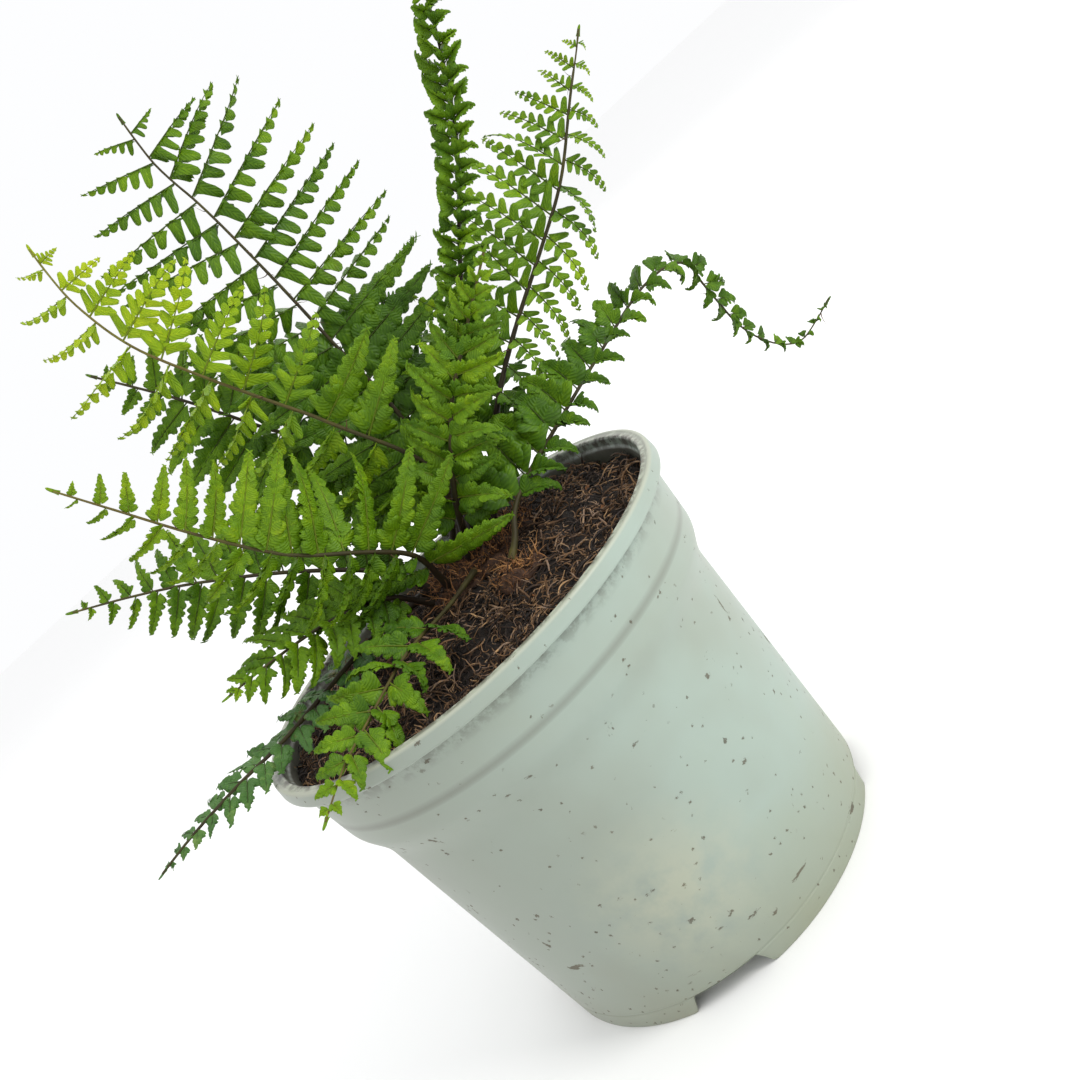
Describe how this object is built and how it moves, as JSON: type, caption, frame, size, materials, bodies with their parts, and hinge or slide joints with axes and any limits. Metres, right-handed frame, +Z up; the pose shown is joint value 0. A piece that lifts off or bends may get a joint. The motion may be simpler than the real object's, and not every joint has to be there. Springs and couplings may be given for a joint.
{
  "type": "potted fern",
  "caption": "Young fern with lance-shaped fronds growing from scaly crowns in coir soil, in a round stepped plastic nursery pot with a foot ring.",
  "frame": {"origin": "on the pot's axis, on the flat underside of its floor; the foot ring reaches 7 mm below it", "axes": "+Z up along the pot's axis; +X towards the drooping frond; -Y is the side with the old frond lying over the rim at the front"},
  "size_m": [0.3122, 0.1724, 0.3291],
  "materials": {
    "pot": "satin, slightly translucent, with specks of soil",
    "soil": "loose dark coir fibre",
    "crown": "dry brown scales and hairs",
    "stem": "dark, finely hairy",
    "leaf_dark": "soft, slightly glossy leaf",
    "leaf_bright": "soft young leaf",
    "leaf_old": "old dull leaf, browning at the tips"
  },
  "bodies": {
    "root": {"pot": "pot", "soil": "soil", "crown_main": "crown", "crown_side": "crown", "stem_tall_left": "stem", "blade_tall_left": "leaf_dark", "stem_bright_left": "stem", "blade_bright_left": "leaf_bright", "stem_dark_left": "stem", "blade_dark_left": "leaf_dark", "stem_low_left": "stem", "blade_low_left": "leaf_bright", "stem_low_left_behind": "stem", "blade_low_left_behind": "leaf_dark", "stem_tuft_left": "stem", "blade_tuft_left": "leaf_dark", "stem_old_left": "stem", "blade_old_left": "leaf_old", "stem_old_front": "stem", "blade_old_front": "leaf_old", "stem_upright": "stem", "blade_upright": "leaf_dark", "stem_right_high": "stem", "blade_right_high": "leaf_dark", "stem_right_low": "stem", "blade_right_low": "leaf_dark", "stem_small_middle": "stem", "blade_small_middle": "leaf_bright", "stem_dark_back": "stem", "blade_dark_back": "leaf_dark"}
  },
  "joints": []
}
